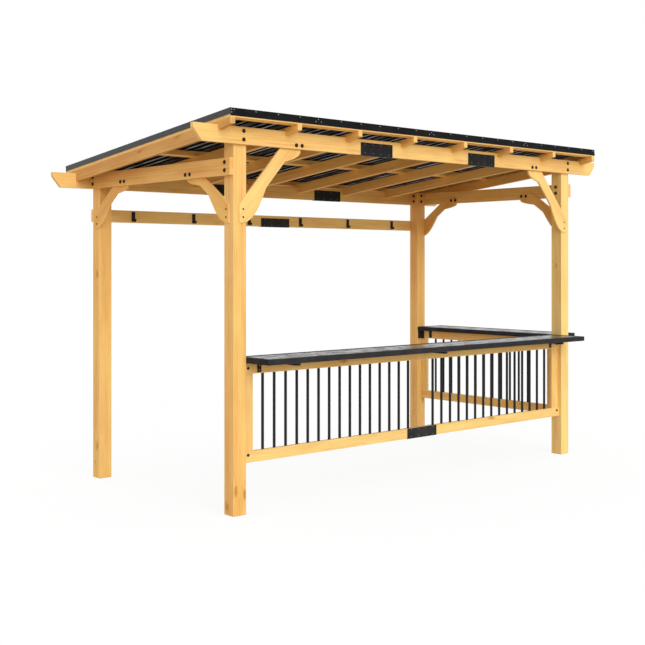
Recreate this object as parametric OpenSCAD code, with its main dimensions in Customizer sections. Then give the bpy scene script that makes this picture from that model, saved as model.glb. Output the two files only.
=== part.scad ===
// Grill gazebo: four timber posts, a single-slope ribbed metal roof and an L-shaped bar with railings.
// Millimetres, +Z up. The origin is on the ground, under the middle of the overall plan.
// The front looks towards -Y. The bar runs along the front and the right side.

/* [Plan] */
// Width over the posts, left to right
plan_w = 3515; // [2900:5:4200]
// Depth over the posts, front to back
plan_d = 1750; // [1500:5:2300]

/* [Timber frame] */
// Side of the square posts
post = 100; // [90:1:120]
// Height of headers and side beams
beam_h = 110; // [100:1:130]
// Thickness of headers and side beams
beam_t = 30; // [24:1:40]
// Height of the side beams' and the back header's underside above the ground
side_beam_z = 2157; // [2000:1:2300]
// Rise of the front header above the back header
roof_rise = 195; // [150:1:260]
// Length of the headers beyond the posts
header_over = 330; // [260:1:420]
// Height of the upright nose at a header's end
nose_h = 30; // [15:1:60]
// Length of the slanted cut under a header's nose
nose_cut = 66; // [20:1:120]
// Left joint of the headers, left of the middle
joint_left = 527; // [400:1:700]
// Right joint of the headers, right of the middle
joint_right = 599; // [400:1:700]
// Width of a butt joint between two lengths of timber
butt_gap = 0.6; // [0.3:0.1:0.9]

/* [Knee braces] */
// Thickness of a brace, half of it lapped over the post
brace_t = 16; // [12:1:24]
// Width of a front brace's arm
front_arm_w = 87; // [75:1:95]
// Width of a side brace's arm
side_arm_w = 73; // [62:1:80]
// Depth of the braces' lower ends below the side beams
brace_drop = 301; // [280:1:350]
// Height of the tab that laps over the post
tab_h = 118; // [105:1:130]
// Width of the tab on the post
tab_lap = 59; // [40:1:70]
// Distance from post to arm under the front header
front_arm_in = 276; // [240:1:320]
// Distance from post to ear tip under the front header
front_arm_out = 449; // [430:1:500]
// Depth of the ear under the front header
front_ear = 88; // [70:1:100]
// Distance from post to arm under a side beam
side_arm_in = 199; // [180:1:230]
// Distance from post to ear tip under a side beam
side_arm_out = 404; // [380:1:440]
// Depth of the ear under a side beam
side_ear = 50; // [40:1:60]
// Distance from post to the foot of an arm's straight lower edge
heel_run = 160; // [150:1:170]
// Gap between a brace's upper end and the rafters
rafter_room = 3; // [1:0.5:8]

/* [Roof] */
// Number of rafters
rafter_n = 8; // [5:1:10]
// Reach of the end rafters beyond the posts
roof_over = 143; // [100:1:200]
// Thickness of a rafter
rafter_t = 35; // [28:1:45]
// Upright depth of a rafter between the headers
rafter_h = 77; // [68:1:90]
// Upright depth of a rafter's tail beside the header
tail_root = 52; // [46:1:60]
// Upright depth of a rafter's tail at its end
tail_tip = 38; // [30:1:44]
// Timber left above the header in a rafter's notch
notch_cover = 20; // [15:1:28]
// Length of the front tails in front of the posts
front_tail = 161; // [110:1:220]
// Length of the back tails behind the posts
back_tail = 140; // [110:1:220]
// Width of a purlin, laid flat
purlin_w = 62; // [50:1:90]
// Thickness of a purlin
purlin_t = 38; // [30:1:45]
// Setback of the middle purlin behind the roof's middle
purlin_shift = 147; // [0:1:200]
// Thickness of a batten over an end rafter
batten_t = 14; // [10:1:20]
// Number of roof sheets
sheet_n = 4; // [2:1:5]
// Number of ribs on a sheet
rib_n = 4; // [3:1:5]
// Height of a roof rib
rib_h = 16; // [12:1:22]
// Width of a rib at its foot
rib_w = 62; // [50:1:70]
// Width of a rib at its crest
rib_crest = 24; // [16:1:36]
// Height of a stiffening swage between two ribs
swage_h = 5; // [3:1:8]
// Width of a swage at its foot
swage_w = 28; // [22:1:32]
// Width of a swage at its crest
swage_crest = 14; // [10:1:18]
// Thickness of a roof sheet
sheet_t = 1.5; // [1:0.1:2.5]
// Upright height of the edge trim in front and behind
trim_h = 50; // [42:1:56]
// Upright height of the edge trim on the sides
side_trim_h = 40; // [34:1:48]
// Width of the edge trim's top flange
trim_flange = 60; // [40:1:90]
// Thickness of the edge trim
trim_t = 2; // [1.5:0.1:3]

/* [Bar] */
// Height of the bar top above the ground
bar_z = 1000; // [960:1:1060]
// Overhang of a bar top in front of the posts
bar_over = 230; // [180:1:280]
// Thickness of a bar top
bar_t = 36; // [30:1:45]
// Width of a bar top's rim
rim_w = 34; // [24:1:45]
// Wall thickness of a bar top's rim
rim_t = 4; // [3:0.5:6]
// Number of slats across a bar top
slat_n = 5; // [3:1:7]
// Gap between the slats
slat_gap = 4; // [2:0.5:8]
// Thickness of a slat
slat_t = 14; // [10:1:18]
// Depth of the slats below the rim
slat_inset = 1.5; // [0.5:0.5:4]
// Number of cross bars under the front bar top
cross_n = 7; // [3:2:7]
// Number of cross bars under the side bar top
side_cross_n = 3; // [3:2:5]
// Distance from a bar top's end to its first cross bar
cross_end = 265.5; // [220:0.5:300]

/* [Railing] */
// Height of a rail
rail_h = 73; // [60:1:90]
// Thickness of a rail
rail_t = 30; // [24:1:40]
// Setback of the rails from the posts' outer faces
rail_in = 22; // [10:1:30]
// Height of the lower rail's underside above the ground
rail_z = 323; // [250:1:400]
// Shift of the front railing's middle to the left
rail_shift = 11; // [0:1:20]
// Width of the upright stiles at the railing's ends
stile_w = 82; // [60:1:95]
// Thickness of a stile
stile_t = 16; // [12:1:22]
// Diameter of a baluster
bal_d = 19; // [14:1:22]
// Widest spacing of the balusters
bal_most = 99; // [85:1:110]
// Mean distance from a front post to the first baluster
bal_end = 172.5; // [140:0.5:200]
// Mean distance from the side railing's posts to the first baluster
side_bal_end = 187; // [140:1:210]
// Shift of the side balusters to the back
side_bal_shift = 12; // [0:1:20]
// Clear middle between the two halves of the front railing
bal_mid = 263; // [200:1:300]

/* [Hook rail] */
// Depth of the hook rail's underside below the side beams
hook_drop = 246; // [200:1:320]
// Height of the hook rail
hook_rail_h = 94; // [70:1:110]
// Thickness of the hook rail
hook_rail_t = 26; // [20:1:36]
// Number of hooks
hook_n = 6; // [2:2:6]
// Distance from a post to the first hook
hook_end = 250; // [150:1:300]
// Height of a hook
hook_h = 76; // [66:1:90]
// Width of a hook
hook_w = 31; // [22:1:36]
// Thickness of a hook's strip
hook_t = 4; // [3:0.5:6]
// Inner radius of a hook's toe
hook_r = 7; // [5:1:12]
// Straight end of a hook's toe above its bend
hook_tip = 10; // [4:1:16]

/* [Metalwork] */
// Length of a splice plate
plate_len = 311; // [220:1:340]
// Thickness of the splice plates and brackets
plate_t = 2.5; // [2:0.5:4]
// Timber left bare above a header's splice plate
plate_bare = 22; // [10:1:40]
// Cross bars from one arm under the front bar top to the next
arm_every = 3; // [1:1:3]
// Width of an arm under a bar top
bar_arm_w = 28; // [20:1:40]
// Height of an arm under a bar top
bar_arm_h = 17; // [12:1:25]
// Setback of an arm from the bar top's outer edge
bar_arm_in = 22; // [10:1:60]
// Width of an angle bracket under a bar top
angle_w = 34; // [25:1:50]
// Rail left bare under an angle bracket
angle_bare = 7; // [4:1:20]
// Distance of an angle bracket's middle from the post
angle_in = 122; // [80:1:150]
// Reach of a corner bracket along the rail
corner_w = 42; // [30:1:55]
// Height of a corner bracket
corner_h = 77; // [60:1:90]

/* [Hidden] */

timber = "#e8b866";
black_metal = "#2b2b2d";
roof_metal = "#3a3d42";
slat_grey = "#77787a";

// Heights above the ground, all from the side beams
front_beam_z = side_beam_z + roof_rise;
tab_z = side_beam_z - brace_drop;
hook_rail_z = side_beam_z - hook_drop;

// Roof slope: it seats every rafter equally deep on both headers
roof_slope = roof_rise / (plan_d + beam_t);
roof_angle = atan(roof_slope);
rafter_pitch = (plan_w + 2 * roof_over - rafter_t) / (rafter_n - 1);
crest_z = purlin_t + sheet_t + rib_h;
trim_gap = 1;

// Reach of a cutting block beyond the timber that it cuts
cut = 1;
// Facets of the round pieces and steps of a curve
bal_facets = 24;
hook_facets = 32;
curve_steps = 8;

// Height of a brace's upper end behind the beam, under the rafters
arm_behind = beam_h + notch_cover - rafter_h - beam_t * roof_slope - rafter_room;
// Handles of the ogee curves at a brace's lower and upper end
heel_soft = [45, 15];
heel_full = [80, 60];
ear_round = 40;
ear_soft = 0.71;
ear_full = 0.48;

// Overall plan: the widest things are the headers, the bar top in front and the roof's trim behind
front_reach = max(bar_over, front_tail + trim_gap + trim_t);
back_reach = back_tail + (trim_gap + trim_t) * cos(roof_angle) + (crest_z + trim_t) * sin(roof_angle);
front_y = front_reach - (plan_d + front_reach + back_reach) / 2;
back_y = front_y + plan_d;
right_x = plan_w / 2;
left_x = -right_x;
front_in_y = front_y + post;
back_in_y = back_y - post;
right_in_x = right_x - post;
left_in_x = left_x + post;

// Roof surface, across (x) and down the slope (v)
roof_front_y = front_y - front_tail;
roof_back_y = back_y + back_tail;
roof_run = (roof_back_y - roof_front_y) / cos(roof_angle);
roof_half = right_x + roof_over + trim_gap;
sheet_w = 2 * roof_half / sheet_n;
rib_pitch = sheet_w / rib_n;
trim_out = roof_half + trim_t;
trim_front_v = -trim_gap - trim_t;
trim_back_v = roof_run + trim_gap + trim_t;

rail_top_z = bar_z - bar_t;
bar_len = plan_w - 2 * post;
side_bar_len = plan_d - 2 * post;
bar_depth = post + bar_over;
slat_bed = bar_depth - 2 * rim_w;
slat_w = (slat_bed - (slat_n + 1) * slat_gap) / slat_n;
slat_z = bar_z - slat_inset - slat_t;
angle_leg = rail_h - angle_bare;

// Baluster runs of half the front railing and of the side railing, each in equal steps
bal_run = bar_len / 2 - bal_end - bal_mid / 2;
bal_steps = ceil(bal_run / bal_most);
side_bal_run = side_bar_len - 2 * side_bal_end;
side_bal_steps = ceil(side_bal_run / bal_most);
hook_pitch = (bar_len - 2 * hook_end) / (hook_n - 1);

function cross_pitch(long, crosses) = (long - 2 * cross_end) / (crosses - 1);

// Height of the rafters' upper edge at a place front to back
function rafter_top(y) = front_beam_z + beam_h + notch_cover - (y - (front_y - beam_t)) * roof_slope;

// Points along a cubic curve with its end points and two handles
function curve(a, b, c, d) =
    [for (i = [0:curve_steps]) let (t = i / curve_steps, s = 1 - t)
        s * s * s * a + 3 * s * s * t * b + 3 * s * t * t * c + t * t * t * d];

module box(low, high) {
    translate(low)
        cube(high - low);
}

// Puts its children on the rafters' upper edge: X across, Y down the slope to the back, Z out of the roof
module on_roof() {
    translate([0, roof_front_y, rafter_top(roof_front_y)])
        rotate([-roof_angle, 0, 0])
            children();
}

// Turns an outline drawn across (x) and up (y) into a slab with its back face at Y = 0 and its face at -Y
module upright(thick) {
    rotate([90, 0, 0])
        linear_extrude(thick)
            children();
}

// Timber posts
module square_post(x, y, top) {
    color(timber)
        box([x, y, 0], [x + post, y + post, top]);
}

module post_front_left() {
    square_post(left_x, front_y, front_beam_z + beam_h);
}

module post_front_right() {
    square_post(right_in_x, front_y, front_beam_z + beam_h);
}

module post_back_left() {
    square_post(left_x, back_in_y, side_beam_z + beam_h);
}

module post_back_right() {
    square_post(right_in_x, back_in_y, side_beam_z + beam_h);
}

// Headers: three lengths butted end to end, with slant-cut noses
module header_outline() {
    tip = right_x + header_over;
    polygon([
        [-tip, beam_h], [-tip, beam_h - nose_h], [nose_cut - tip, 0],
        [tip - nose_cut, 0], [tip, beam_h - nose_h], [tip, beam_h]
    ]);
}

module header(y, z) {
    color(timber)
        difference() {
            translate([0, y + beam_t, z])
                upright(beam_t)
                    header_outline();
            for (x = [-joint_left, joint_right])
                box([x - butt_gap / 2, y - cut, z - cut],
                    [x + butt_gap / 2, y + beam_t + cut, z + beam_h + cut]);
        }
}

module front_header() {
    header(front_y - beam_t, front_beam_z);
}

module back_header() {
    header(back_y, side_beam_z);
}

// Side beams, bolted to the outer faces of the posts
module side_beam(x) {
    color(timber)
        box([x, front_y, side_beam_z], [x + beam_t, back_y, side_beam_z + beam_h]);
}

module left_side_beam() {
    side_beam(left_x - beam_t);
}

module right_side_beam() {
    side_beam(right_x);
}

// Knee brace outlines, measured from the post's inner face and from the tab's lower end.
// The outer half laps over the post and stops under the beam. The inner half stops at the post and
// runs up behind the beam.
function brace_rise(arm_in, top) = (top - tab_h) / (arm_in + tab_lap);

function arm_below(x, rise, wide) =
    tab_h + (x + tab_lap) * rise - wide * sqrt(1 + rise * rise);

function arm_below_x(z, rise, wide) =
    (z - tab_h + wide * sqrt(1 + rise * rise)) / rise - tab_lap;

module brace_outline(arm_in, arm_out, wide, ear, top) {
    rise = brace_rise(arm_in, top);
    heel = [heel_run, arm_below(heel_run, rise, wide)];
    lower_ear = curve([-tab_lap / 2, 0], heel_soft, heel_full, heel);
    ear_end = [arm_below_x(top - ear, rise, wide), top - ear];
    ear_bend = [arm_out - ear_round, top - ear_soft * ear];
    upper_ear = curve(ear_end, ear_bend, [arm_out, top - ear_full * ear], [arm_out, top]);
    shoulder = [arm_in + arm_behind / rise, top + arm_behind];
    polygon(concat(
        [[-tab_lap, tab_h], [-tab_lap, 0]],
        lower_ear,
        upper_ear,
        [[arm_out, top + arm_behind / 2], [arm_out - arm_behind / 2, top + arm_behind], shoulder]
    ));
}

module brace(arm_in, arm_out, wide, ear, beam_z) {
    top = beam_z - tab_z;
    color(timber)
        union() {
            upright(brace_t / 2)
                difference() {
                    brace_outline(arm_in, arm_out, wide, ear, top);
                    translate([-plan_w, top])
                        square([2 * plan_w, beam_h]);
                }
            translate([0, brace_t / 2, 0])
                upright(brace_t / 2)
                    difference() {
                        brace_outline(arm_in, arm_out, wide, ear, top);
                        translate([-post, 0])
                            square([post, 2 * top]);
                    }
        }
}

module front_brace() {
    brace(front_arm_in, front_arm_out, front_arm_w, front_ear, front_beam_z);
}

module side_brace() {
    brace(side_arm_in, side_arm_out, side_arm_w, side_ear, side_beam_z);
}

module brace_front_left() {
    translate([left_in_x, front_y, tab_z])
        front_brace();
}

module brace_front_right() {
    translate([right_in_x, front_y, tab_z])
        mirror([1, 0, 0])
            front_brace();
}

// On the left side the brace's face turns from -Y to -X
module left_brace(y, flip) {
    translate([left_x, y, tab_z])
        mirror([0, flip, 0])
            mirror([1, -1, 0])
                side_brace();
}

module right_brace(y, flip) {
    mirror([1, 0, 0])
        left_brace(y, flip);
}

module brace_left_front() {
    left_brace(front_in_y, 0);
}

module brace_left_back() {
    left_brace(back_in_y, 1);
}

module brace_right_front() {
    right_brace(front_in_y, 0);
}

module brace_right_back() {
    right_brace(back_in_y, 1);
}

// Rafter outline front to back (x) and up (y): tapered tails, notched over both headers
module rafter_outline() {
    front_face = front_y - beam_t;
    back_face = back_y + beam_t;
    polygon([
        [roof_front_y, rafter_top(roof_front_y)],
        [roof_front_y, rafter_top(roof_front_y) - tail_tip],
        [front_face, rafter_top(front_face) - tail_root],
        [front_face, front_beam_z + beam_h],
        [front_y, front_beam_z + beam_h],
        [front_y, rafter_top(front_y) - rafter_h],
        [back_y, rafter_top(back_y) - rafter_h],
        [back_y, side_beam_z + beam_h],
        [back_face, side_beam_z + beam_h],
        [back_face, rafter_top(back_face) - tail_root],
        [roof_back_y, rafter_top(roof_back_y) - tail_tip],
        [roof_back_y, rafter_top(roof_back_y)]
    ]);
}

module rafter(i) {
    color(timber)
        translate([(i - (rafter_n + 1) / 2) * rafter_pitch - rafter_t / 2, 0, 0])
            rotate([90, 0, 90])
                linear_extrude(rafter_t)
                    rafter_outline();
}

// Flat purlins across the rafters: front, middle and back, with battens between them on the end rafters
module purlins() {
    last = roof_run - purlin_w;
    starts = [0, last / 2 + purlin_shift, last];
    color(timber)
        on_roof() {
            for (v = starts)
                box([-roof_half, v, 0], [roof_half, v + purlin_w, purlin_t]);
            for (k = [0, 1], x = [-roof_half, roof_half - batten_t])
                box([x, starts[k] + purlin_w, 0], [x + batten_t, starts[k + 1], purlin_t]);
        }
}

// Ribbed sheet, its section drawn across (x) and out of the roof (y)
function bump(x, foot, crest, high) =
    [[x - foot / 2, 0], [x - crest / 2, high], [x + crest / 2, high], [x + foot / 2, 0]];

// One rib in the middle of its share of the sheet, with a swage on each side
rib_share = concat(
    bump(rib_pitch / 6, swage_w, swage_crest, swage_h),
    bump(rib_pitch / 2, rib_w, rib_crest, rib_h),
    bump(rib_pitch * 5 / 6, swage_w, swage_crest, swage_h)
);

function rib_line(lift) =
    [for (i = [0:rib_n - 1], p = rib_share) p + [i * rib_pitch, lift]];

function backwards(list) = [for (i = [len(list) - 1:-1:0]) list[i]];

module sheet_outline() {
    polygon(concat(
        [[0, 0]], rib_line(0), [[sheet_w, 0], [sheet_w, sheet_t]],
        backwards(rib_line(sheet_t)), [[0, sheet_t]]
    ));
}

module roof_sheet(i) {
    color(roof_metal)
        on_roof()
            translate([(i - 1) * sheet_w - roof_half, roof_run, purlin_t])
                upright(roof_run)
                    sheet_outline();
}

// Edge trim: an upright leg outside the purlins and a flange on the ribs, mitred at the corners
module trim_leg(low, high, tall) {
    box([low[0], low[1], crest_z + trim_t - tall], [high[0], high[1], crest_z]);
}

module trim_flange_slab(points) {
    translate([0, 0, crest_z])
        linear_extrude(trim_t)
            polygon(points);
}

module end_trim(edge, inward) {
    leg = [edge, edge + inward * trim_t];
    color(roof_metal)
        on_roof() {
            trim_leg([-trim_out, min(leg)], [trim_out, max(leg)], trim_h);
            trim_flange_slab([
                [-trim_out, edge], [trim_out, edge],
                [trim_out - trim_flange, edge + inward * trim_flange],
                [trim_flange - trim_out, edge + inward * trim_flange]
            ]);
        }
}

module side_trim(side) {
    leg = [side * trim_out, side * roof_half];
    inner = side * (trim_out - trim_flange);
    color(roof_metal)
        on_roof() {
            trim_leg([min(leg), trim_front_v + trim_t], [max(leg), trim_back_v - trim_t], side_trim_h);
            trim_flange_slab([
                [side * trim_out, trim_front_v], [inner, trim_front_v + trim_flange],
                [inner, trim_back_v - trim_flange], [side * trim_out, trim_back_v]
            ]);
        }
}

module trim_front() {
    end_trim(trim_front_v, 1);
}

module trim_back() {
    end_trim(trim_back_v, -1);
}

module trim_left() {
    side_trim(-1);
}

module trim_right() {
    side_trim(1);
}

// Railings. The side railing is drawn like the front one and turned to the right side.
module on_right_side() {
    translate([right_x, (front_y + back_y) / 2, 0])
        rotate([0, 0, 90])
            children();
}

module on_front() {
    translate([0, front_y, 0])
        children();
}

module rail_pair(long, splits) {
    color(timber)
        for (z = [rail_z, rail_top_z - rail_h])
            difference() {
                box([-long / 2, rail_in, z], [long / 2, rail_in + rail_t, z + rail_h]);
                for (x = splits)
                    box([x - butt_gap / 2, 0, z - cut], [x + butt_gap / 2, post, z + rail_h + cut]);
            }
}

module front_rails() {
    on_front()
        rail_pair(bar_len, [-rail_shift]);
}

module side_rails() {
    on_right_side()
        rail_pair(side_bar_len, []);
}

// Stiles stand between the two rails, flush with the rails' inner faces
module stile_pair(long) {
    back = rail_in + rail_t;
    for (x = [-long / 2, long / 2 - stile_w])
        box([x, back - stile_t, rail_z + rail_h], [x + stile_w, back, rail_top_z - rail_h]);
}

module railing_stiles() {
    color(timber) {
        on_front()
            stile_pair(bar_len);
        on_right_side()
            stile_pair(side_bar_len);
    }
}

module baluster(x) {
    translate([x, rail_in + rail_t / 2, rail_z + rail_h])
        cylinder(d = bal_d, h = rail_top_z - rail_h - rail_z - rail_h, $fn = bal_facets);
}

module front_balusters() {
    color(black_metal)
        on_front()
            for (side = [-1, 1], i = [0:bal_steps])
                baluster(side * (bal_mid / 2 + i * bal_run / bal_steps) - rail_shift);
}

module side_balusters() {
    color(black_metal)
        on_right_side()
            for (i = [0:side_bal_steps])
                baluster((i / side_bal_steps - 1 / 2) * side_bal_run + side_bal_shift);
}

// Bar tops: an angle rim with cross bars, and slats laid into it
module bar_frame(long, crosses) {
    low = [-long / 2, -bar_over, rail_top_z];
    high = [long / 2, post, bar_z];
    pitch = cross_pitch(long, crosses);
    color(black_metal)
        union() {
            difference() {
                box(low, high);
                box(low + [rim_w, rim_w, -cut], high - [rim_w, rim_w, -cut]);
                box(low + [rim_t, rim_t, -cut], [high[0] - rim_t, high[1] - rim_t, slat_z]);
            }
            for (i = [0:crosses - 1])
                translate([(i - (crosses - 1) / 2) * pitch, 0, 0])
                    box([-rim_w / 2, low[1] + rim_t, rail_top_z], [rim_w / 2, high[1] - rim_t, slat_z]);
        }
}

module bar_slats(long) {
    first = rim_w - bar_over + slat_gap;
    color(slat_grey)
        for (i = [0:slat_n - 1])
            translate([0, first + i * (slat_w + slat_gap), slat_z])
                box([rim_w - long / 2, 0, 0], [long / 2 - rim_w, slat_w, slat_t]);
}

module front_bar_frame() {
    on_front()
        bar_frame(bar_len, cross_n);
}

module front_bar_slats() {
    on_front()
        bar_slats(bar_len);
}

module side_bar_frame() {
    on_right_side()
        bar_frame(side_bar_len, side_cross_n);
}

module side_bar_slats() {
    on_right_side()
        bar_slats(side_bar_len);
}

// Arms and angle brackets that carry the bar tops from the upper rails and the posts
module bar_arm(x) {
    box([x - bar_arm_w / 2, bar_arm_in - bar_over, rail_top_z - bar_arm_h],
        [x + bar_arm_w / 2, rail_in, rail_top_z]);
}

// Angle bracket on a timber face, with its flat leg under the bar top, outwards (-1) or inwards (1)
module angle_bracket(x, face, wide, way) {
    leg = [face, face + way * plate_t];
    flat = [face, way < 0 ? face - angle_leg : post - rim_t];
    box([x - wide / 2, min(leg), rail_top_z - angle_leg], [x + wide / 2, max(leg), rail_top_z]);
    box([x - wide / 2, min(flat), rail_top_z - plate_t], [x + wide / 2, max(flat), rail_top_z]);
}

// Folded bracket in the corner between post and rail, drawn for the left end of a railing
module corner_bracket(long) {
    low = [-long / 2, rail_in + rail_t, rail_top_z - corner_h];
    high = [low[0] + corner_w, post - rim_t, rail_top_z];
    difference() {
        box(low, high);
        box(low + [plate_t, plate_t, -cut], high + [cut, cut, -plate_t]);
    }
}

module bracket_set(long) {
    for (flip = [0, 1])
        mirror([flip, 0, 0]) {
            angle_bracket(long / 2 - angle_in, rail_in, angle_w, -1);
            angle_bracket(long / 2 - angle_in, rail_in + rail_t, angle_w, 1);
            corner_bracket(long);
        }
}

module bar_brackets() {
    reach = floor((cross_n - 1) / 2 / arm_every);
    color(black_metal) {
        on_front() {
            for (i = [-reach:reach])
                bar_arm(i * arm_every * cross_pitch(bar_len, cross_n));
            bracket_set(bar_len);
        }
        on_right_side() {
            bar_arm(0);
            bracket_set(side_bar_len);
        }
    }
}

// Rail with hooks across the back
module hook_rail() {
    color(timber)
        difference() {
            box([left_x, back_y, hook_rail_z], [right_x, back_y + hook_rail_t, hook_rail_z + hook_rail_h]);
            box([-butt_gap / 2, back_y - cut, hook_rail_z - cut],
                [butt_gap / 2, back_y + hook_rail_t + cut, hook_rail_z + hook_rail_h + cut]);
        }
}

// A hook's strip with its toe bent up towards the front, drawn in profile
module hook_profile() {
    bend = hook_r + hook_t;
    translate([-hook_t, bend])
        square([hook_t, hook_h - bend]);
    translate([-bend, bend])
        difference() {
            circle(bend, $fn = hook_facets);
            circle(hook_r, $fn = hook_facets);
            translate([-2 * bend, 0])
                square(4 * bend);
        }
    translate([-2 * bend, bend])
        square([hook_t, hook_tip]);
}

module hooks() {
    color(black_metal)
        for (i = [0:hook_n - 1])
            translate([(i - (hook_n - 1) / 2) * hook_pitch - hook_w / 2, back_y,
                       hook_rail_z + (hook_rail_h - hook_h) / 2])
                rotate([90, 0, 90])
                    linear_extrude(hook_w)
                        hook_profile();
}

// Splice plates: channels that wrap under a joint, drawn from the underside of the timber
module splice(x, y, z, thick, high) {
    half = plate_len / 2;
    difference() {
        box([x - half, y - plate_t, z - plate_t], [x + half, y + thick + plate_t, z + high]);
        box([x - plate_len, y, z], [x + plate_len, y + thick, z + high + cut]);
    }
}

module header_splices() {
    color(black_metal)
        for (x = [-joint_left, joint_right]) {
            splice(x, front_y - beam_t, front_beam_z, beam_t, beam_h - plate_bare);
            splice(x, back_y, side_beam_z, beam_t, beam_h - plate_bare);
        }
}

module rail_splices() {
    color(black_metal) {
        splice(-rail_shift, front_y + rail_in, rail_z, rail_t, rail_h);
        splice(0, back_y, hook_rail_z, hook_rail_t, hook_rail_h - plate_bare);
    }
}

post_front_left();
post_front_right();
post_back_left();
post_back_right();
front_header();
back_header();
left_side_beam();
right_side_beam();
brace_front_left();
brace_front_right();
brace_left_front();
brace_left_back();
brace_right_front();
brace_right_back();
for (i = [1:rafter_n])
    rafter(i);
purlins();
for (i = [1:sheet_n])
    roof_sheet(i);
trim_front();
trim_back();
trim_left();
trim_right();
front_rails();
side_rails();
railing_stiles();
front_balusters();
side_balusters();
front_bar_frame();
front_bar_slats();
side_bar_frame();
side_bar_slats();
bar_brackets();
hook_rail();
hooks();
header_splices();
rail_splices();
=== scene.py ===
import math

import bpy
from mathutils import Euler, Matrix, Vector


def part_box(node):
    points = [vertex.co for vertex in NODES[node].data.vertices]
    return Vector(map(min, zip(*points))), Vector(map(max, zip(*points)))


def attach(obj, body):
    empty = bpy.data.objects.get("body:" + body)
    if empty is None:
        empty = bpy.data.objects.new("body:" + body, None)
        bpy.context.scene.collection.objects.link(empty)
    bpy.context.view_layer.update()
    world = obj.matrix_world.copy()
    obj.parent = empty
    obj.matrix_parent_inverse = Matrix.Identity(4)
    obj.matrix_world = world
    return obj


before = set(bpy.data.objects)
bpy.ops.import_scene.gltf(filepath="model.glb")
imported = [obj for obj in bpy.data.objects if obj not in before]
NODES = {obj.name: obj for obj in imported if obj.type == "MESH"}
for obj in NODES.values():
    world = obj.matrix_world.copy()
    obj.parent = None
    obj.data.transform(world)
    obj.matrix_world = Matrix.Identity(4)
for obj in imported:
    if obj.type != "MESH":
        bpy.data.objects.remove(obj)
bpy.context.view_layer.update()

# Camera, fitted to the photograph
CAMERA_PLACE = (-5.9245, -6.3840, 1.600)
CAMERA_YAW = math.radians(-41.531)
CAMERA_LENS = 61.27
CAMERA_SENSOR = 36.0
CAMERA_SHIFT_Y = -0.0918
CAMERA_REACH = 500.0

# Light and floor
SUN_FROM = Vector((-0.18, -0.90, 0.34))
SUN_STRENGTH = 1.50
SUN_ANGLE = math.radians(35)
SKY_STRENGTH = 0.78
WHITE = (1.0, 1.0, 1.0, 1.0)
FLOOR_COLOUR = (0.13, 0.13, 0.13, 1.0)
FLOOR_BOUNCE = (0.68, 0.525, 0.375, 1.0)
FLOOR_GLOW = 0.88
FLOOR_HALF = 90.0

# Timber colours, and the scales and shares of its grain and knots, in metres
TIMBER_PALE = (0.97, 0.715, 0.260, 1.0)
TIMBER_LATE = (0.77, 0.405, 0.105, 1.0)
TIMBER_KNOT = (0.50, 0.185, 0.028, 1.0)
# Edge colour: rubbed wear with a painted highlight
TIMBER_EDGE_WEAR_AND_HIGHLIGHT = (0.96, 0.66, 0.255, 1.0)
TIMBER_DEEP = (0.98, 0.83, 0.70, 1.0)
TIMBER_SHADED = (0.84, 0.88, 0.95, 1.0)
TIMBER_OLIVE = (0.98, 1.03, 0.96, 1.0)
TIMBER_ROSE = (1.0, 0.91, 0.96, 1.0)
RING_SCALE = 24.0
FIBRE_STRETCH = (5.0, 190.0, 190.0)
DRIFT_STRETCH = (2.2, 14.0, 14.0)
RING_STRETCH = (0.055, 1.0, 1.0)
BAND_STRETCH = (1.1, 36.0, 36.0)
LEFT_PAINTED_SHADE_HALF = (0.012, 0.040)
BANDING = 0.45
KNOT_CELLS = (2.3, 10.0, 10.0)
KNOT_SHAPE = (4.2, 10.0, 10.0)
KNOT_MIN = 0.006
KNOT_MAX = 0.016
KNOT_OVAL = (0.42, 1.0, 1.0)
KNOT_RAGGED = (16.0, 120.0, 120.0)
KNOT_SLOTS = ("knot_1", "knot_2", "knot_3")
KNOT_NOWHERE = Vector((99.0, 99.0, 99.0))
KNOT_CHANCE = 0.75
KNOT_FRINGE = 0.009
KNOT_CORE = (-0.002, 0.010)
KNOT_BEND = 0.045
KNOT_BEND_PHASE = 7.0
KNOT_COVER = 0.75
# Tints of the painted shade on the posts' left faces, redder in the middle and greener at the borders
LEFT_PAINTED_SHADE_TINTS = (0.16, -0.14)
LEFT_FACING = (-0.6, -0.8)
BAND_EDGES = (0.38, 0.62)
LATE_SHARES = (0.14, 0.52)
FIBRE_SHARE = 0.30
DRIFT_SHARES = (-0.06, 0.34)
UPPER_FADE = 0.3
TIMBER_GLOSS = (0.52, 0.66)
TIMBER_SHINE = 0.35
TIMBER_RELIEF = 0.0006
PITH_SHIFT = (0.035, 0.030)
PITH_SPREAD = 0.05
PITH_STEP = (1.37, 0.618, 0.414)

# How deep, shaded or dark each timber is, partly the stain's own tone and partly painted light and shade:
# lighter tones on the front right and back left posts, the front timbers and the hook rail make up for the
# shade they lie in, and the end rafter gets painted shade under the trim; deep tones go by the start of a
# node's name
DEEP_STAIN_AND_PAINTED_LIGHT = {
    "post_front_left": 0.7,
    "post_front_right": 0.0,
    "post_back_left": 0.75,
    "post_back_right": 0.55,
    "brace_left": 1.0,
    "brace_right": 1.0,
    "left_side": 0.8,
    "right_side": 0.7,
    "hook_rail": 0.4,
    "rafter_1": 0.9,
    "rafter": 0.7,
    "back_header": 0.4,
    "front_header": 0.3,
    "purlins": 0.5,
    "side_rails": 0.6,
}
# Painted shade deepening towards the top of the back posts under the roof and of the side rails under the
# bar; the front left post gets paler towards its top
UPPER_TONE_AND_PAINTED_SHADE = {
    "post_front_left": -0.35,
    "post_back_left": 0.25,
    "post_back_right": 0.45,
    "side_rails": 0.4,
}
SHADED_TONES = {"rafter_1": 1.0}
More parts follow.
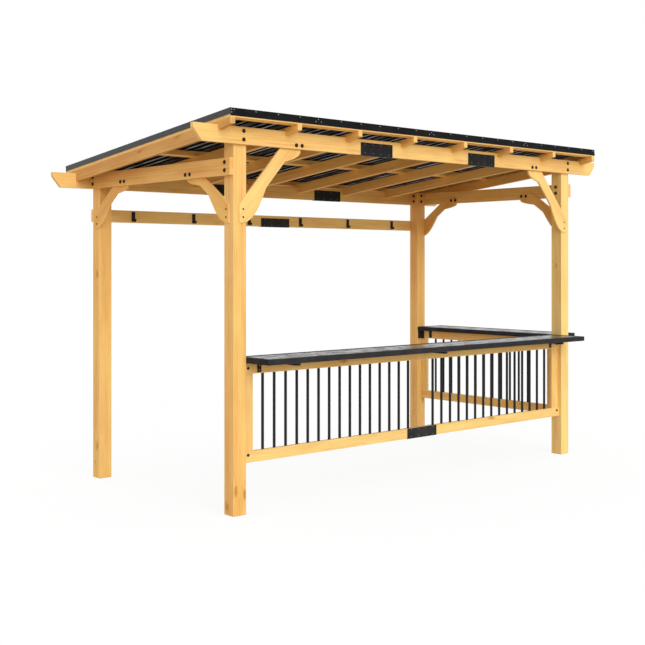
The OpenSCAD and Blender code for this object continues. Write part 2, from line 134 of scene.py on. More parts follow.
# Negative darkness here is painted light on timbers lying in shade; the end rafter's darkness is painted
# shade under the trim
DARK_AND_PAINTED_LIGHT_TONES = {
    "post_front_right": -0.3,
    "post_back_left": -0.22,
    "front_header": -0.06,
    "front_rails": -0.06,
    "hook_rail": -0.25,
    "left_side_beam": 0.12,
    "rafter_1": 0.42,
}

# Metal colours and streaks
BLACK = (0.020, 0.020, 0.022, 1.0)
BLACK_WORN = (0.085, 0.085, 0.088, 1.0)
BAR_BLACK = (0.029, 0.029, 0.031, 1.0)
JET = (0.006, 0.006, 0.007, 1.0)
CHARCOAL = (0.034, 0.036, 0.041, 1.0)
CHARCOAL_WORN = (0.12, 0.125, 0.135, 1.0)
SLATE = (0.036, 0.041, 0.049, 1.0)
# Painted reflection on the roof swages' lower flanks, and the shares of it that show
FLANK_PAINTED_REFLECTION = (0.42, 0.43, 0.46, 1.0)
FLANK_REFLECTION_SHARES = (0.25, 0.8)
SLAT_GREY = (0.060, 0.060, 0.062, 1.0)
SLAT_DARK = (0.022, 0.022, 0.024, 1.0)
SLAT_GLOSS = (0.12, 0.40)
FRONT_STREAKS = (8.0, 20.0, 20.0)
SIDE_STREAKS = (20.0, 8.0, 20.0)
BOLT_BROWN = (0.048, 0.028, 0.019, 1.0)
DULL_ZINC = (0.16, 0.16, 0.17, 1.0)
ZINC = (0.34, 0.34, 0.35, 1.0)
TARNISH = 0.6
TARNISH_DULLING = 0.15

# Edge rounding, in metres
TIMBER_ROUND = 0.0025
METAL_ROUND = 0.0008
WELD_GAP = 0.00001
ROUND_ANGLE = math.radians(35)
SHARP_ANGLE = math.radians(40)

# Hardware, in metres: (radius, height) from the face outwards
BOLT_PROFILE = [
    (0.0135, -0.001), (0.0135, 0.002), (0.0105, 0.0022), (0.0100, 0.0055), (0.0070, 0.0080), (0.0025, 0.0090),
]
SCREW_PROFILE = [(0.0065, -0.001), (0.0065, 0.0008), (0.0050, 0.0024), (0.0020, 0.0030)]
RIVET_PROFILE = [(0.0045, -0.0005), (0.0045, 0.0004), (0.0035, 0.0018), (0.0014, 0.0023)]
RAIL_BOLT_PROFILE = [(0.0100, -0.001), (0.0100, 0.0020), (0.0085, 0.0042), (0.0035, 0.0058)]
ROOF_SCREW_PROFILE = [
    (0.0085, -0.001), (0.0085, 0.0012), (0.0058, 0.0016), (0.0055, 0.0060), (0.0020, 0.0064),
]
HARDWARE_SIDES = 16

# Where the hardware sits on its timbers and sheets, in metres
HEADER_BOLT_RISES = (0.030, 0.084)
HEADER_BOLT_SHIFTS = {"left": 0.008, "right": 0.0}
SIDE_BOLT_SHIFTS = {"front": 0.006, "back": 0.0}
SIDE_BOLT_RISES = (0.032, 0.083)
FRONT_BRACE_BOLTS = (0.385, 0.434)
FRONT_BRACE_BOLT_SHIFT = 0.0075
SIDE_BRACE_BOLTS = (0.341, 0.391)
FRONT_BRACE_BOLT_RISE = 0.024
SIDE_BRACE_BOLT_RISE = 0.028
TAB_SCREW_RISES = (0.037, 0.088)
TAB_SCREW_IN = 0.030
RAIL_BOLT_IN = 0.032
LOWER_BOLT_LIFT = 0.013
TRIM_JOINTS = (-1.186, -0.104, 0.976)
TRIM_LENGTH = 1.081
TRIM_SCREW_START = 0.204
TRIM_SCREW_PITCH = 0.180
TRIM_SCREWS = 5
TRIM_SCREW_DROP = 0.012
TRIM_END = 0.030
JOINT_SCREWS = ((0.0, 0.014), (-0.023, 0.029), (0.023, 0.029))
CORNER_SCREWS = ((0.010, 0.012), (0.010, 0.030), (0.030, 0.012))
RIVET_COLUMNS = (0.125, 0.375, 0.625, 0.875)
RIVET_ROWS = (0.20, 0.85)
PLATE_SPLIT = 0.3
HOOK_SCREW_DROPS = (0.012, 0.034)
HOOK_STRIP_T = 0.004
BRACKET_SCREW_DROPS = (0.022, 0.050)
BRACKET_IN = 0.122
BRACKET_T = 0.0025
FLANGE_SCREW_IN = 0.031
SHEET_RIBS = 4
MID_PURLIN_SHIFT = 0.147

# Slopes of the braces, for their grain
BRACE_FRONT_DEG = 48.4
BRACE_SIDE_DEG = 35.3


def roof_angle():
    """Slope of the roof, from the heights of the two headers."""
    front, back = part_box("front_header")[0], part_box("back_header")[0]
    return math.atan2(front.z - back.z, back.y - front.y)


ROOF_ANGLE = roof_angle()


def roof_frame():
    """Frame on the rafters' upper edge: X across, Y down the slope to the back, Z out of the roof."""
    low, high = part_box("rafter_1")
    return Matrix.Translation((0, low.y, high.z)) @ Matrix.Rotation(-ROOF_ANGLE, 4, "X")


ROOF = roof_frame()

# Turns that bring each timber's grain onto X, in degrees
GRAIN_TURNS = {
    "upright": (0, 90, 0),
    "across": (0, 0, 0),
    "deep": (0, 0, -90),
    "sloped": (math.degrees(ROOF_ANGLE), 0, -90),
    "brace_front_left": (0, BRACE_FRONT_DEG, 0),
    "brace_front_right": (0, 180 - BRACE_FRONT_DEG, 0),
    "brace_towards_back": (-BRACE_SIDE_DEG, 0, -90),
    "brace_towards_front": (BRACE_SIDE_DEG, 0, -90),
}
GRAIN_OF = {
    "post_front_left": "upright",
    "post_front_right": "upright",
    "post_back_left": "upright",
    "post_back_right": "upright",
    "railing_stiles": "upright",
    "front_header": "across",
    "back_header": "across",
    "purlins": "across",
    "front_rails": "across",
    "hook_rail": "across",
    "left_side_beam": "deep",
    "right_side_beam": "deep",
    "side_rails": "deep",
    "brace_front_left": "brace_front_left",
    "brace_front_right": "brace_front_right",
    "brace_left_front": "brace_towards_back",
    "brace_right_front": "brace_towards_back",
    "brace_left_back": "brace_towards_front",
    "brace_right_back": "brace_towards_front",
}

# Places of the most visible knots, in metres
KNOTS = {
    "post_front_left": ((-1.74, -0.835, 0.163), (-1.672, -0.835, 0.128), (-1.758, -0.764, 0.053)),
    "post_back_left": ((-1.758, 0.85, 1.513), (-1.758, 0.85, 0.239)),
    "rafter_1": ((-1.901, -0.419, 2.422), (-1.901, 0.039, 2.365)),
    "post_back_right": ((1.73, 0.815, 0.297),),
    "front_rails": ((0.775, -0.813, 0.386), (-0.796, -0.813, 0.926)),
}
BLACK_NODES = ("front_bar_frame", "side_bar_frame", "bar_brackets", "hooks")
ROD_NODES = ("front_balusters", "side_balusters")
PLATE_NODES = ("header_splices", "rail_splices")
SIDE_TRIM_NODES = ("trim_left", "trim_right")


def add(tree, kind, inputs=None, **settings):
    """Adds a shader node. Its inputs are numbers or other nodes' sockets."""
    made = tree.nodes.new(kind)
    for name, value in settings.items():
        setattr(made, name, value)
    for name, value in (inputs or {}).items():
        if isinstance(value, bpy.types.NodeSocket):
            tree.links.new(value, made.inputs[name])
        else:
            made.inputs[name].default_value = value
    return made


def mix(tree, share, low, high, blend="MIX"):
    """Colour between two others."""
    inputs = {0: share, 6: low, 7: high}
    return add(tree, "ShaderNodeMix", inputs, data_type="RGBA", blend_type=blend).outputs[2]


def calc(tree, operation, first, second=0.0):
    return add(tree, "ShaderNodeMath", {0: first, 1: second}, operation=operation).outputs[0]


def spread(tree, value, low, high, to_low=0.0, to_high=1.0):
    """Moves a value from one range to another, clamped."""
    inputs = {"Value": value, "From Min": low, "From Max": high, "To Min": to_low, "To Max": to_high}
    return add(tree, "ShaderNodeMapRange", inputs).outputs["Result"]


def combine(tree, operation, first, second):
    """Vector made from two others, part by part."""
    return add(tree, "ShaderNodeVectorMath", {0: first, 1: second}, operation=operation).outputs[0]


def stretched(tree, vector, scale):
    return combine(tree, "MULTIPLY", vector, scale)


def length(tree, vector):
    return add(tree, "ShaderNodeVectorMath", {0: vector}, operation="LENGTH").outputs["Value"]


def parts(tree, vector):
    """Outputs X, Y and Z of a vector."""
    return add(tree, "ShaderNodeSeparateXYZ", {0: vector}).outputs


def facing_parts(tree):
    """Parts of the direction that a surface faces."""
    return parts(tree, add(tree, "ShaderNodeNewGeometry").outputs["Normal"])


def object_place(tree):
    return add(tree, "ShaderNodeTexCoord").outputs["Object"]


def noise(tree, vector, scale, detail=3.0, rough=0.55):
    inputs = {"Vector": vector, "Scale": scale, "Detail": detail, "Roughness": rough}
    return add(tree, "ShaderNodeTexNoise", inputs).outputs["Fac"]


def new_material(name):
    """Empty material with a surface shader: (material, tree, shader)."""
    material = bpy.data.materials.new(name)
    material.use_nodes = True
    tree = material.node_tree
    tree.nodes.clear()
    shader = add(tree, "ShaderNodeBsdfPrincipled")
    add(tree, "ShaderNodeOutputMaterial", {"Surface": shader.outputs[0]})
    return material, tree, shader


def wire(tree, shader, colour, rough, height, depth, strength=1.0, metallic=0.0):
    """Connects colour, roughness and a bump of a given depth to a surface shader."""
    bump = add(tree, "ShaderNodeBump", {"Height": height, "Distance": depth, "Strength": strength})
    for name, value in (("Base Color", colour), ("Roughness", rough), ("Normal", bump.outputs[0])):
        tree.links.new(value, shader.inputs[name])
    shader.inputs["Metallic"].default_value = metallic


def own(tree, name):
    """Outputs that read a value kept on the object itself."""
    return add(tree, "ShaderNodeAttribute", attribute_type="OBJECT", attribute_name=name).outputs


def own_space(tree):
    """Place in an object, from its middle."""
    return combine(tree, "SUBTRACT", object_place(tree), own(tree, "middle")["Vector"])


def grain_space(tree, local, turn):
    """A timber's own space, with its grain along X and its own stretch of the tree."""
    angles = [math.radians(a) for a in turn]
    turned_in = add(tree, "ShaderNodeMapping", {"Vector": local, "Rotation": angles}).outputs[0]
    return combine(tree, "ADD", turned_in, own(tree, "pith")["Vector"])


def placed_knots(tree, grain):
    """How far inside the nearest of a timber's own knots a place is."""
    deepest = -1.0
    for slot in KNOT_SLOTS:
        apart = combine(tree, "SUBTRACT", grain, own(tree, slot)["Vector"])
        away = length(tree, stretched(tree, apart, KNOT_OVAL))
        deepest = calc(tree, "MAXIMUM", deepest, calc(tree, "SUBTRACT", KNOT_MAX, away))
    return deepest


def knots(tree, grain):
    """Masks of the knots and of the grain bending round them."""
    cells = stretched(tree, grain, KNOT_CELLS)
    found = add(tree, "ShaderNodeTexVoronoi", {"Vector": cells, "Scale": 1.0})
    apart = combine(tree, "SUBTRACT", cells, found.outputs["Position"])
    away = length(tree, combine(tree, "DIVIDE", apart, KNOT_SHAPE))
    chance = add(tree, "ShaderNodeSeparateColor", {0: found.outputs["Color"]}).outputs[0]
    there = spread(tree, chance, KNOT_CHANCE, KNOT_CHANCE + 0.01, -KNOT_MAX, 0.0)
    size = calc(tree, "ADD", there, spread(tree, chance, KNOT_CHANCE, 1.0, KNOT_MIN, KNOT_MAX))
    smooth = calc(tree, "MAXIMUM", calc(tree, "SUBTRACT", size, away), placed_knots(tree, grain))
    fringe = noise(tree, stretched(tree, grain, KNOT_RAGGED), 1.0, 2.0)
    edge = calc(tree, "ADD", smooth, spread(tree, fringe, 0.3, 0.7, -KNOT_FRINGE, KNOT_FRINGE))
    core = spread(tree, edge, *KNOT_CORE)
    bend = spread(tree, edge, -KNOT_BEND, 0.0)
    return core, calc(tree, "MULTIPLY", bend, bend)


def heart(tree, local):
    """Painted warm shade tint on the posts' left faces: redder in the middle, greener at the borders."""
    facing = facing_parts(tree)["X"]
    aside = calc(tree, "ABSOLUTE", parts(tree, local)["Y"])
    redder = spread(tree, aside, *LEFT_PAINTED_SHADE_HALF, *LEFT_PAINTED_SHADE_TINTS)
    left = calc(tree, "MULTIPLY", spread(tree, facing, *LEFT_FACING), own(tree, "heart")["Fac"])
    return calc(tree, "MULTIPLY", redder, left)


def growth_rings(tree, grain, bend):
    """Saw-toothed growth rings round the pith, bent where a knot is near."""
    inputs = {
        "Vector": stretched(tree, grain, RING_STRETCH),
        "Scale": RING_SCALE,
        "Distortion": 5.0,
        "Detail": 2.0,
        "Detail Scale": 0.5,
        "Phase Offset": calc(tree, "MULTIPLY", bend, KNOT_BEND_PHASE),
    }
    kind = {"wave_type": "RINGS", "rings_direction": "X", "wave_profile": "SAW"}
    return add(tree, "ShaderNodeTexWave", inputs, **kind).outputs["Fac"]


def stained(tree, plain, grain, local):
    """A timber's plain colour with its own banding and stain, a painted shade tint on the posts' left faces,
    and painted light and shade per timber and towards its top.
    """
    streaks = noise(tree, stretched(tree, grain, BAND_STRETCH), 1.0, 2.0)
    # The posts' left faces get their painted shade tint through the banding
    band = spread(tree, calc(tree, "ADD", streaks, heart(tree, local)), *BAND_EDGES)
    tint = mix(tree, band, TIMBER_OLIVE, TIMBER_ROSE)
    banded = mix(tree, own(tree, "banding")["Fac"], plain, tint, "MULTIPLY")
    # Painted light and shade per timber, with painted shade deepening towards the top
    upper = spread(tree, parts(tree, local)["Z"], -UPPER_FADE, UPPER_FADE)
    higher_up = calc(tree, "MULTIPLY", upper, own(tree, "upper_deep")["Fac"])
    deep = calc(tree, "ADD", own(tree, "deep")["Fac"], higher_up)
    deepened = mix(tree, deep, banded, TIMBER_DEEP, "MULTIPLY")
    # Painted shade on the end rafter under the trim
    return mix(tree, own(tree, "shaded")["Fac"], deepened, TIMBER_SHADED, "MULTIPLY")


def timber(name, turn):
    """Honey-stained softwood: growth rings, fibres, broad tone changes and knots along the grain."""
    material, tree, shader = new_material(name)
    local = own_space(tree)
    grain = grain_space(tree, local, turn)
    knot, bend = knots(tree, grain)
    rings = growth_rings(tree, grain, bend)
    fibre = noise(tree, stretched(tree, grain, FIBRE_STRETCH), 1.0, 4.0, 0.6)
    drift = noise(tree, stretched(tree, grain, DRIFT_STRETCH), 1.0, 2.0)
    late_share = spread(tree, drift, 0.35, 0.65, *LATE_SHARES)
    late = calc(tree, "MULTIPLY", calc(tree, "POWER", rings, 2.0), late_share)
    streak = spread(tree, fibre, 0.35, 0.75, 0.0, FIBRE_SHARE)
    tone = spread(tree, drift, 0.3, 0.7, *DRIFT_SHARES)
    figure = calc(tree, "ADD", calc(tree, "ADD", late, streak), tone)
    dark = calc(tree, "ADD", figure, own(tree, "dark")["Fac"])
    wood = stained(tree, mix(tree, dark, TIMBER_PALE, TIMBER_LATE), grain, local)
    colour = mix(tree, calc(tree, "MULTIPLY", knot, KNOT_COVER), wood, TIMBER_KNOT)
    rough = spread(tree, fibre, 0.3, 0.7, *TIMBER_GLOSS)
    height = calc(tree, "SUBTRACT", calc(tree, "ADD", fibre, late), knot)
    wire(tree, shader, colour, rough, height, TIMBER_RELIEF, 0.5)
    shader.inputs["Specular IOR Level"].default_value = TIMBER_SHINE
    return material


def timber_edge_with_painted_highlight():
    """Paler edges of the timbers, rubbed and with a painted highlight."""
    material, tree, shader = new_material("timber_edge_with_painted_highlight")
    place = object_place(tree)
    wear = noise(tree, place, 14.0, 4.0)
    colour = mix(tree, spread(tree, wear, 0.35, 0.65), TIMBER_EDGE_WEAR_AND_HIGHLIGHT, TIMBER_PALE)
    wire(tree, shader, colour, spread(tree, wear, 0.3, 0.7, 0.6, 0.75), wear, 0.0004, 0.4)
    return material


def coated_metal(name, base, worn, gloss=(0.34, 0.48), mottle=0.35, mottle_scale=9.0, shine=0.3):
    """Powder coat: fine orange peel, broad changes of tone and gloss, and small rubbed specks."""
    material, tree, shader = new_material(name)
    place = object_place(tree)
    broad = noise(tree, place, mottle_scale, 4.0, 0.6)
    peel = noise(tree, place, 420.0, 2.0)
    specks = spread(tree, noise(tree, place, 150.0, 2.0), 0.66, 0.74)
    tone = mix(tree, spread(tree, broad, 0.35, 0.75, 0.0, mottle), base, worn)
    colour = mix(tree, calc(tree, "MULTIPLY", specks, mottle), tone, worn)
    rough = spread(tree, broad, 0.3, 0.7, gloss[0], gloss[1])
    wire(tree, shader, colour, rough, peel, 0.0002, 0.25)
    shader.inputs["Specular IOR Level"].default_value = shine
    return material


def roof_metal():
    """Dark coated sheet, black and without sheen below as painted shade, with painted reflections in stripes
    on the flanks of its swages there.
    """
    material, tree, shader = new_material("roof_coat")
    place = object_place(tree)
    facing = facing_parts(tree)
    tilt = calc(tree, "ABSOLUTE", facing["X"])
    flank = calc(tree, "MULTIPLY", spread(tree, tilt, 0.35, 0.50), spread(tree, tilt, 0.60, 0.62, 1.0, 0.3))
    under = calc(tree, "LESS_THAN", facing["Z"], 0.0)
    broad = noise(tree, place, 6.0, 4.0, 0.6)
    peel = noise(tree, place, 300.0, 2.0)
    above = mix(tree, spread(tree, broad, 0.3, 0.7, 0.0, 0.3), CHARCOAL, CHARCOAL_WORN)
    # Black below, as painted shade
    painted_shade_below = mix(tree, spread(tree, broad, 0.3, 0.7, 0.0, 0.03), JET, CHARCOAL_WORN)
    # Painted reflection on the lower flanks, broken up in places
    reflection_share = spread(tree, broad, 0.35, 0.65, *FLANK_REFLECTION_SHARES)
    painted_reflection = calc(tree, "MULTIPLY", calc(tree, "MULTIPLY", flank, under), reflection_share)
    colour = mix(tree, painted_reflection, mix(tree, under, above, painted_shade_below), FLANK_PAINTED_REFLECTION)
    wire(tree, shader, colour, spread(tree, broad, 0.3, 0.7, 0.34, 0.46), peel, 0.0002, 0.2)
    tree.links.new(painted_reflection, shader.inputs["Metallic"])
    # No sheen below, as part of the painted shade
    tree.links.new(spread(tree, under, 0.0, 1.0, 0.3, 0.0), shader.inputs["Specular IOR Level"])
    return material


def slat_metal(name, lengthwise):
    """Grey slats with streaks along their length."""
    material, tree, shader = new_material(name)
    place = object_place(tree)
    streak = noise(tree, stretched(tree, place, lengthwise), 1.0, 3.0)
    broad = noise(tree, place, 4.0, 2.0)
    tone = mix(tree, spread(tree, streak, 0.35, 0.65), SLAT_DARK, SLAT_GREY)
    colour = mix(tree, spread(tree, broad, 0.3, 0.7, 0.0, 0.3), tone, SLAT_GREY)
    wire(tree, shader, colour, spread(tree, streak, 0.40, 0.60, *SLAT_GLOSS), streak, 0.0001, 0.1)
    return material


def bare_metal(name, base, gloss, metallic=0.8, shine=0.5):
    """Plated hardware with a little tarnish."""
    material, tree, shader = new_material(name)
    place = object_place(tree)
    tarnish = noise(tree, place, 220.0, 3.0)
    dulled = tuple(TARNISH * c for c in base[:3]) + (1.0,)
    colour = mix(tree, spread(tree, tarnish, 0.35, 0.7), base, dulled)
    rough = spread(tree, tarnish, 0.3, 0.7, gloss, gloss + TARNISH_DULLING)
    wire(tree, shader, colour, rough, tarnish, 0.0001, 0.3, metallic)
    shader.inputs["Specular IOR Level"].default_value = shine
    return material


def dress(node, material, edge, round_by):
    """Gives a CAD node its finish, and rounds its edges where round_by is set."""
    piece = NODES[node]
    piece.data.materials.clear()
    piece.data.materials.append(material)
    if not round_by:
        return
    piece.data.materials.append(edge)
    piece.modifiers.new("weld", "WELD").merge_threshold = WELD_GAP
    bevel = piece.modifiers.new("round", "BEVEL")
    bevel.width = round_by
    bevel.segments = 2
    bevel.limit_method = "ANGLE"
    bevel.angle_limit = ROUND_ANGLE
    bevel.harden_normals = True
    bevel.material = 1


def own_knots(node, turn, pith):
    """A timber's own knots, in its grain space."""
    grain_turn = Euler([math.radians(a) for a in turn]).to_matrix()
    return [grain_turn @ (Vector(place) - middle(node)) + pith for place in KNOTS.get(node, ())]


def dress_timber():
    edge = timber_edge_with_painted_highlight()
    woods = {name: timber(f"timber_{name}", turn) for name, turn in GRAIN_TURNS.items()}
    grains = dict(GRAIN_OF, **{n: "sloped" for n in NODES if n.startswith("rafter_")})
    for i, (node, grain) in enumerate(grains.items()):
        piece = NODES[node]
        piece["middle"] = list(middle(node))
        across = [PITH_SHIFT[k] + PITH_SPREAD * ((i * PITH_STEP[k + 1]) % 1) for k in (0, 1)]
        pith = Vector((i * PITH_STEP[0], across[0], across[1]))
        piece["pith"] = list(pith)
        places = own_knots(node, GRAIN_TURNS[grain], pith) + [KNOT_NOWHERE] * len(KNOT_SLOTS)
        for slot, place in zip(KNOT_SLOTS, places):
            piece[slot] = list(place)
        # Per-timber tones, partly painted light and shade; the posts also get the painted shade tint on their
        # left faces
        piece["deep"] = next((tone for start, tone in DEEP_STAIN_AND_PAINTED_LIGHT.items() if node.startswith(start)), 0.0)
        piece["upper_deep"] = UPPER_TONE_AND_PAINTED_SHADE.get(node, 0.0)
        piece["dark"] = DARK_AND_PAINTED_LIGHT_TONES.get(node, 0.0)
        piece["shaded"] = SHADED_TONES.get(node, 0.0)
        piece["heart"] = float(node.startswith("post"))
        piece["banding"] = 1.0 if node.startswith("post") else BANDING
        dress(node, woods[grain], edge, TIMBER_ROUND)


def dress_metal():
    worn = coated_metal("black_worn", BLACK_WORN, BLACK)
    black = coated_metal("black_coat", BAR_BLACK, BLACK_WORN, gloss=(0.45, 0.58), mottle=0.3, shine=0.008)
    rods = coated_metal(
        "baluster_coat", BLACK, BLACK_WORN, gloss=(0.55, 0.65), mottle=0.04, mottle_scale=2.0, shine=0.12)
    plate = coated_metal(
        "plate_coat", JET, BLACK_WORN, gloss=(0.45, 0.60), mottle=0.30, mottle_scale=70.0, shine=0.10)
    roof = roof_metal()
    trim = coated_metal("trim_coat", JET, CHARCOAL_WORN, gloss=(0.50, 0.62), mottle=0.08, shine=0.05)
    roof_worn = coated_metal("roof_worn", CHARCOAL_WORN, CHARCOAL)
    slate = coated_metal("side_trim_coat", SLATE, CHARCOAL_WORN, gloss=(0.30, 0.42), mottle=0.2)
    for node in BLACK_NODES:
        dress(node, black, worn, METAL_ROUND)
    for node in ROD_NODES:
        dress(node, rods, worn, 0)
    dress("header_splices", plate, worn, METAL_ROUND)
    dress("rail_splices", black, worn, METAL_ROUND)
    for node in NODES:
        if node.startswith("roof_sheet"):
            dress(node, roof, roof_worn, 0)
        if node.startswith("trim_"):
            dress(node, slate if node in SIDE_TRIM_NODES else trim, roof_worn, METAL_ROUND)
    dress("front_bar_slats", slat_metal("front_slats", FRONT_STREAKS), worn, METAL_ROUND)
    dress("side_bar_slats", slat_metal("side_slats", SIDE_STREAKS), worn, METAL_ROUND)


def turned(profile, place, facing, points, faces):
    """Adds a round solid, standing on a place and facing away from it, to points and faces."""
    turn = facing.to_track_quat("Z", "Y")
    start = len(points)
    for radius, rise in profile:
        for i in range(HARDWARE_SIDES):
            angle = 2 * math.pi * i / HARDWARE_SIDES
            points.append(place + turn @ Vector((radius * math.cos(angle), radius * math.sin(angle), rise)))
    for ring in range(len(profile) - 1):
        base = start + ring * HARDWARE_SIDES
        for i in range(HARDWARE_SIDES):
            j = (i + 1) % HARDWARE_SIDES
            faces.append((base + i, base + j, base + HARDWARE_SIDES + j, base + HARDWARE_SIDES + i))
    top = start + (len(profile) - 1) * HARDWARE_SIDES
    faces.append(tuple(top + i for i in range(HARDWARE_SIDES)))
    faces.append(tuple(start + i for i in reversed(range(HARDWARE_SIDES))))


def hardware(name, profile, spots, material):
    """One mesh of like bolts, screws or rivets at (place, facing) spots."""
    points, faces = [], []
    for place, facing in spots:
        turned(profile, Vector(place), Vector(facing), points, faces)
    mesh = bpy.data.meshes.new(name)
    mesh.from_pydata(points, [], faces)
    mesh.shade_smooth()
    mesh.set_sharp_from_angle(angle=SHARP_ANGLE)
    mesh.materials.append(material)
    piece = bpy.data.objects.new(name, mesh)
    bpy.context.scene.collection.objects.link(piece)
    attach(piece, "root")
    return piece


def middle(node):
    low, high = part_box(node)
    return (low + high) / 2


def header_bolt_spots():
    """Heads on the headers' outer faces and on the posts' inner faces."""
    spots = []
    for row, way in (("front", -1), ("back", 1)):
        low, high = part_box(f"{row}_header")
        outer = low.y if way < 0 else high.y
        for hand in ("left", "right"):
            post_low, post_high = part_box(f"post_{row}_{hand}")
            inner = post_high.y if way < 0 else post_low.y
            for rise in HEADER_BOLT_RISES:
                x, z = middle(f"post_{row}_{hand}").x + HEADER_BOLT_SHIFTS[hand], low.z + rise
                spots += [((x, outer, z), (0, way, 0)), ((x, inner, z), (0, -way, 0))]
    return spots


def side_bolt_spots():
    """Heads on the side beams' outer faces and on the posts' inner faces."""
    spots = []
    for hand, way in (("left", -1), ("right", 1)):
        low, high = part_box(f"{hand}_side_beam")
        outer = low.x if way < 0 else high.x
        for row in ("front", "back"):
            post_low, post_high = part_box(f"post_{row}_{hand}")
            inner = post_high.x if way < 0 else post_low.x
            for rise in SIDE_BOLT_RISES:
                y, z = middle(f"post_{row}_{hand}").y + SIDE_BOLT_SHIFTS[row], low.z + rise
                spots += [((outer, y, z), (way, 0, 0)), ((inner, y, z), (-way, 0, 0))]
    return spots


def front_brace_spots():
    """Bolts through the front header and screws in the tabs of the front braces."""
    bolts, screws = [], []
    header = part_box("front_header")[0]
    for hand, way in (("left", 1), ("right", -1)):
        low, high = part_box(f"brace_front_{hand}")
        post_low, post_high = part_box(f"post_front_{hand}")
        inner = post_high.x if way > 0 else post_low.x
        for run in FRONT_BRACE_BOLTS:
            x, z = inner + way * run + FRONT_BRACE_BOLT_SHIFT, header.z + FRONT_BRACE_BOLT_RISE
            bolts += [((x, header.y, z), (0, -1, 0)), ((x, high.y, z), (0, 1, 0))]
        for rise in TAB_SCREW_RISES:
            screws.append(((inner - way * TAB_SCREW_IN, low.y, low.z + rise), (0, -1, 0)))
    return bolts, screws


def side_brace_spots():
    """Bolts through the side beams and screws in the tabs of the side braces."""
    bolts, screws = [], []
    for hand, out in (("left", -1), ("right", 1)):
        beam_low, beam_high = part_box(f"{hand}_side_beam")
        for row, way in (("front", 1), ("back", -1)):
            low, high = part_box(f"brace_{hand}_{row}")
            post_low, post_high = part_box(f"post_{row}_{hand}")
            inner = post_high.y if way > 0 else post_low.y
            beam_x, tab_x, back_x = (beam_low.x, low.x, high.x) if out < 0 else (beam_high.x, high.x, low.x)
            for run in SIDE_BRACE_BOLTS:
                y, z = inner + way * run, beam_low.z + SIDE_BRACE_BOLT_RISE
                bolts += [((beam_x, y, z), (out, 0, 0)), ((back_x, y, z), (-out, 0, 0))]
            for rise in TAB_SCREW_RISES:
                screws.append(((tab_x, inner - way * TAB_SCREW_IN, low.z + rise), (out, 0, 0)))
    return bolts, screws


def rail_bolt_spots():
    """One bolt near each end of every rail, on its outer face."""
    spots = []
    low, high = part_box("front_rails")
    side_low, side_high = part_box("side_rails")
    half_rail = (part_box("front_balusters")[0].z - low.z) / 2
    for z in (low.z + half_rail + LOWER_BOLT_LIFT, high.z - half_rail):
        for x in (low.x + RAIL_BOLT_IN, high.x - RAIL_BOLT_IN):
            spots.append(((x, low.y, z), (0, -1, 0)))
        for y in (side_low.y + RAIL_BOLT_IN, side_high.y - RAIL_BOLT_IN):
            spots.append(((side_high.x, y, z), (1, 0, 0)))
    return spots


def corners(points):
    """Lowest and highest corner of a set of points."""
    return [Vector([pick(p[i] for p in points) for i in range(3)]) for pick in (min, max)]


def roof_box(node):
    """Lowest and highest corner of a node in the roof's own frame."""
    back = ROOF.inverted()
    return corners([back @ v.co for v in NODES[node].data.vertices])


def on_roof(x, y, z, facing):
    """A spot given in the roof's own frame."""
    return ROOF @ Vector((x, y, z)), ROOF.to_3x3() @ Vector(facing)


def trim_screw_spots():
    """Screws along the front and back trim, three at each joint and corner."""
    spots = []
    starts = [TRIM_JOINTS[0] - TRIM_LENGTH, *TRIM_JOINTS]
    for node, way in (("trim_front", -1), ("trim_back", 1)):
        low, high = roof_box(node)
        face = low.y if way < 0 else high.y
        singles = [s + TRIM_SCREW_START + k * TRIM_SCREW_PITCH for s in starts for k in range(TRIM_SCREWS)]
        for x in singles:
            if low.x + TRIM_END < x < high.x - TRIM_END:
                spots.append(on_roof(x, face, high.z - TRIM_SCREW_DROP, (0, way, 0)))
        for joint in TRIM_JOINTS:
            spots += [on_roof(joint + dx, face, high.z - drop, (0, way, 0)) for dx, drop in JOINT_SCREWS]
        for dx, drop in CORNER_SCREWS:
            spots += [on_roof(x, face, high.z - drop, (0, way, 0)) for x in (low.x + dx, high.x - dx)]
    return spots


def roof_screw_spots():
    """Screws over the three purlins, on the rib crests and on the trim's flanges."""
    spots = []
    flange_z = roof_box("trim_front")[1].z
    sheets = [n for n in NODES if n.startswith("roof_sheet")]
    for node in sheets:
        low, high = roof_box(node)
        for k in range(SHEET_RIBS):
            x = low.x + (k + 0.5) * (high.x - low.x) / SHEET_RIBS
            spots.append(on_roof(x, (low.y + high.y) / 2 + MID_PURLIN_SHIFT, high.z, (0, 0, 1)))
            for y in (low.y + FLANGE_SCREW_IN, high.y - FLANGE_SCREW_IN):
                spots.append(on_roof(x, y, flange_z, (0, 0, 1)))
    return spots


def plate_boxes(node):
    """Corners of each splice plate in a node, told apart by their places."""
    groups = {}
    for v in NODES[node].data.vertices:
        key = (v.co.x > PLATE_SPLIT, v.co.x < -PLATE_SPLIT, v.co.y > 0.0)
        groups.setdefault(key, []).append(v.co)
    return [corners(group) for group in groups.values()]


def rivet_spots():
    """Two rows of rivets on both faces of every splice plate."""
    spots = []
    for node in PLATE_NODES:
        for low, high in plate_boxes(node):
            for across in RIVET_COLUMNS:
                for up in RIVET_ROWS:
                    x = low.x + across * (high.x - low.x)
                    z = low.z + up * (high.z - low.z)
                    spots += [((x, low.y, z), (0, -1, 0)), ((x, high.y, z), (0, 1, 0))]
    return spots


def hook_screw_spots():
    """Two screws in the strip of every hook."""
    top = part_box("hooks")[1].z
    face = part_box("hook_rail")[0].y - HOOK_STRIP_T
    xs = sorted({round(v.co.x, 4) for v in NODES["hooks"].data.vertices})
    centres = [(a + b) / 2 for a, b in zip(xs[::2], xs[1::2])]
    return [((x, face, top - drop), (0, -1, 0)) for x in centres for drop in HOOK_SCREW_DROPS]


